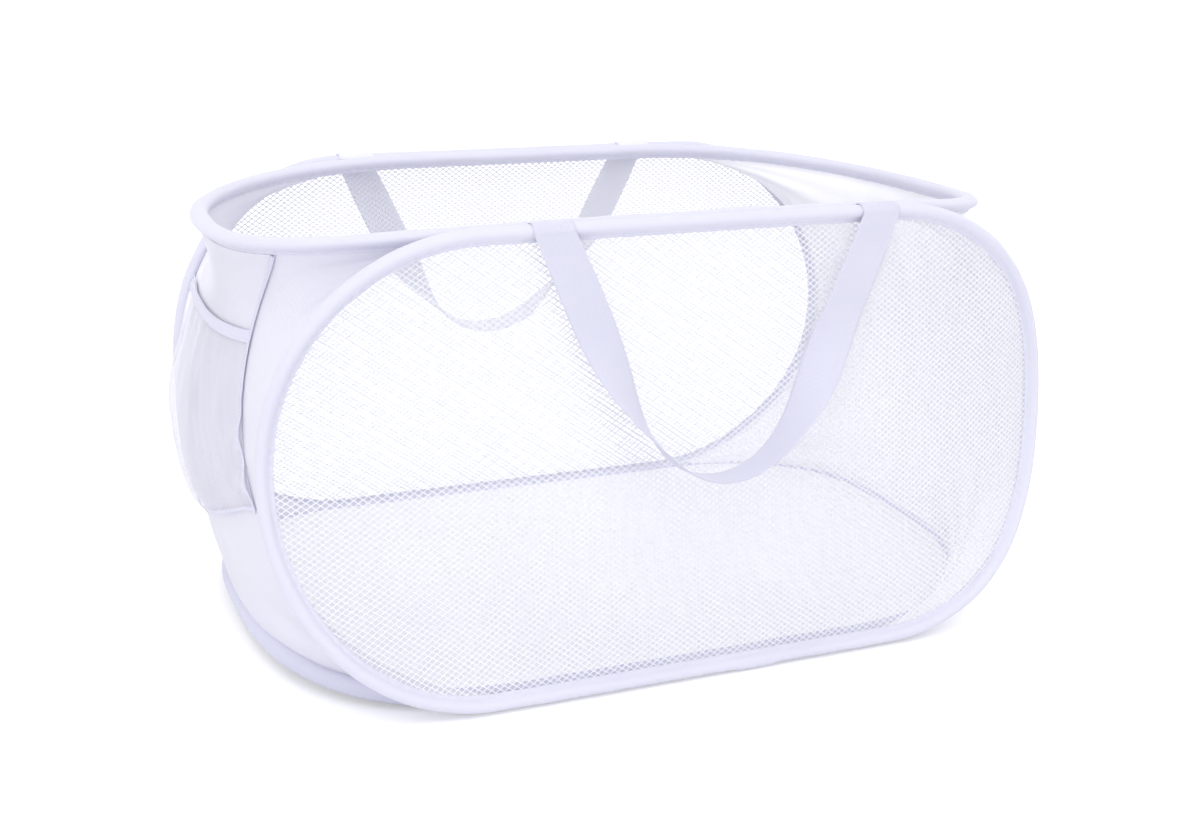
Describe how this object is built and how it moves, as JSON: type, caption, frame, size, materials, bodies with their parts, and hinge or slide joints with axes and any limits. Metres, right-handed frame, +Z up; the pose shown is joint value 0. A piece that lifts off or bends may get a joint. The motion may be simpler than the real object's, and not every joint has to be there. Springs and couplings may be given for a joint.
{
  "type": "pop up laundry hamper",
  "caption": "Oblong pop-up laundry hamper: sprung wire hoops in cloth sleeves, net long sides, cloth base and ends, a mesh pocket on one end and a webbing carry handle on each long side.",
  "frame": {"origin": "middle of the whole hamper's box on the floor it stands on, with the hamper popped open", "axes": "+X along the long sides towards the end without the pocket, +Y from the front long side to the back long side, +Z up towards the open rim"},
  "size_m": [0.622, 0.469, 0.3307],
  "materials": {
    "sleeve_cloth": "plain woven",
    "base_sleeve_cloth": "plain woven",
    "net": "open knitted net",
    "end_cloth": "satin woven",
    "base_cloth": "plain woven",
    "pocket_mesh": "fine knitted mesh",
    "webbing": "ribbed webbing",
    "spring_wire": "bare spring steel"
  },
  "bodies": {
    "base": {"base_sleeve": "base_sleeve_cloth", "base_wire": "spring_wire", "base_ferrule": "spring_wire", "base_panel": "base_cloth", "left_end_panel": "end_cloth", "right_end_panel": "end_cloth", "pocket_backing": "pocket_mesh", "pocket_pouch": "pocket_mesh", "pocket_hem": "webbing", "pocket_tape": "webbing"},
    "front_panel": {"front_sleeve": "sleeve_cloth", "front_wire": "spring_wire", "front_ferrule": "spring_wire", "front_net": "net", "front_handle_end_left": "webbing", "front_handle_end_right": "webbing"},
    "back_panel": {"back_sleeve": "sleeve_cloth", "back_wire": "spring_wire", "back_ferrule": "spring_wire", "back_net": "net", "back_handle_end_left": "webbing", "back_handle_end_right": "webbing"},
    "top_rim": {"top_sleeve": "sleeve_cloth", "top_wire": "spring_wire", "top_ferrule": "spring_wire"},
    "front_handle": {"front_handle": "webbing"},
    "back_handle": {"back_handle": "webbing"}
  },
  "joints": [
    {"name": "fold", "type": "hinge", "parent": "base", "child": "front_panel", "pos_m": [0, -0.20312, 0.01415], "axis": [-1, 0, 0], "range_deg": [0, 68], "stiffness_Nm_per_rad": 1.5, "springref_deg": -17.19, "deforming": ["left_end_panel", "right_end_panel", "pocket_backing", "pocket_pouch", "pocket_hem", "pocket_tape"]},
    {"name": "back_fold", "type": "hinge", "parent": "base", "child": "back_panel", "pos_m": [0, 0.21, 0.00715], "axis": [-1, 0, 0], "range_deg": [0, 68]},
    {"name": "rim_level", "type": "hinge", "parent": "front_panel", "child": "top_rim", "pos_m": [0, -0.17312, 0.32915], "axis": [-1, 0, 0], "range_deg": [-78.3, 0]},
    {"name": "front_handle_swing", "type": "hinge", "parent": "front_panel", "child": "front_handle", "pos_m": [0.02306, -0.1856, 0.3291], "axis": [-1, 0, 0], "range_deg": [0, 180]},
    {"name": "back_handle_swing", "type": "hinge", "parent": "back_panel", "child": "back_handle", "pos_m": [-0.01094, 0.1856, 0.3291], "axis": [1, 0, 0], "range_deg": [0, 180]}
  ],
  "couplings": [
    {"joint": "back_fold", "follows": "fold", "ratio": 1},
    {"joint": "rim_level", "follows": "fold", "ratio": -1.15}
  ]
}
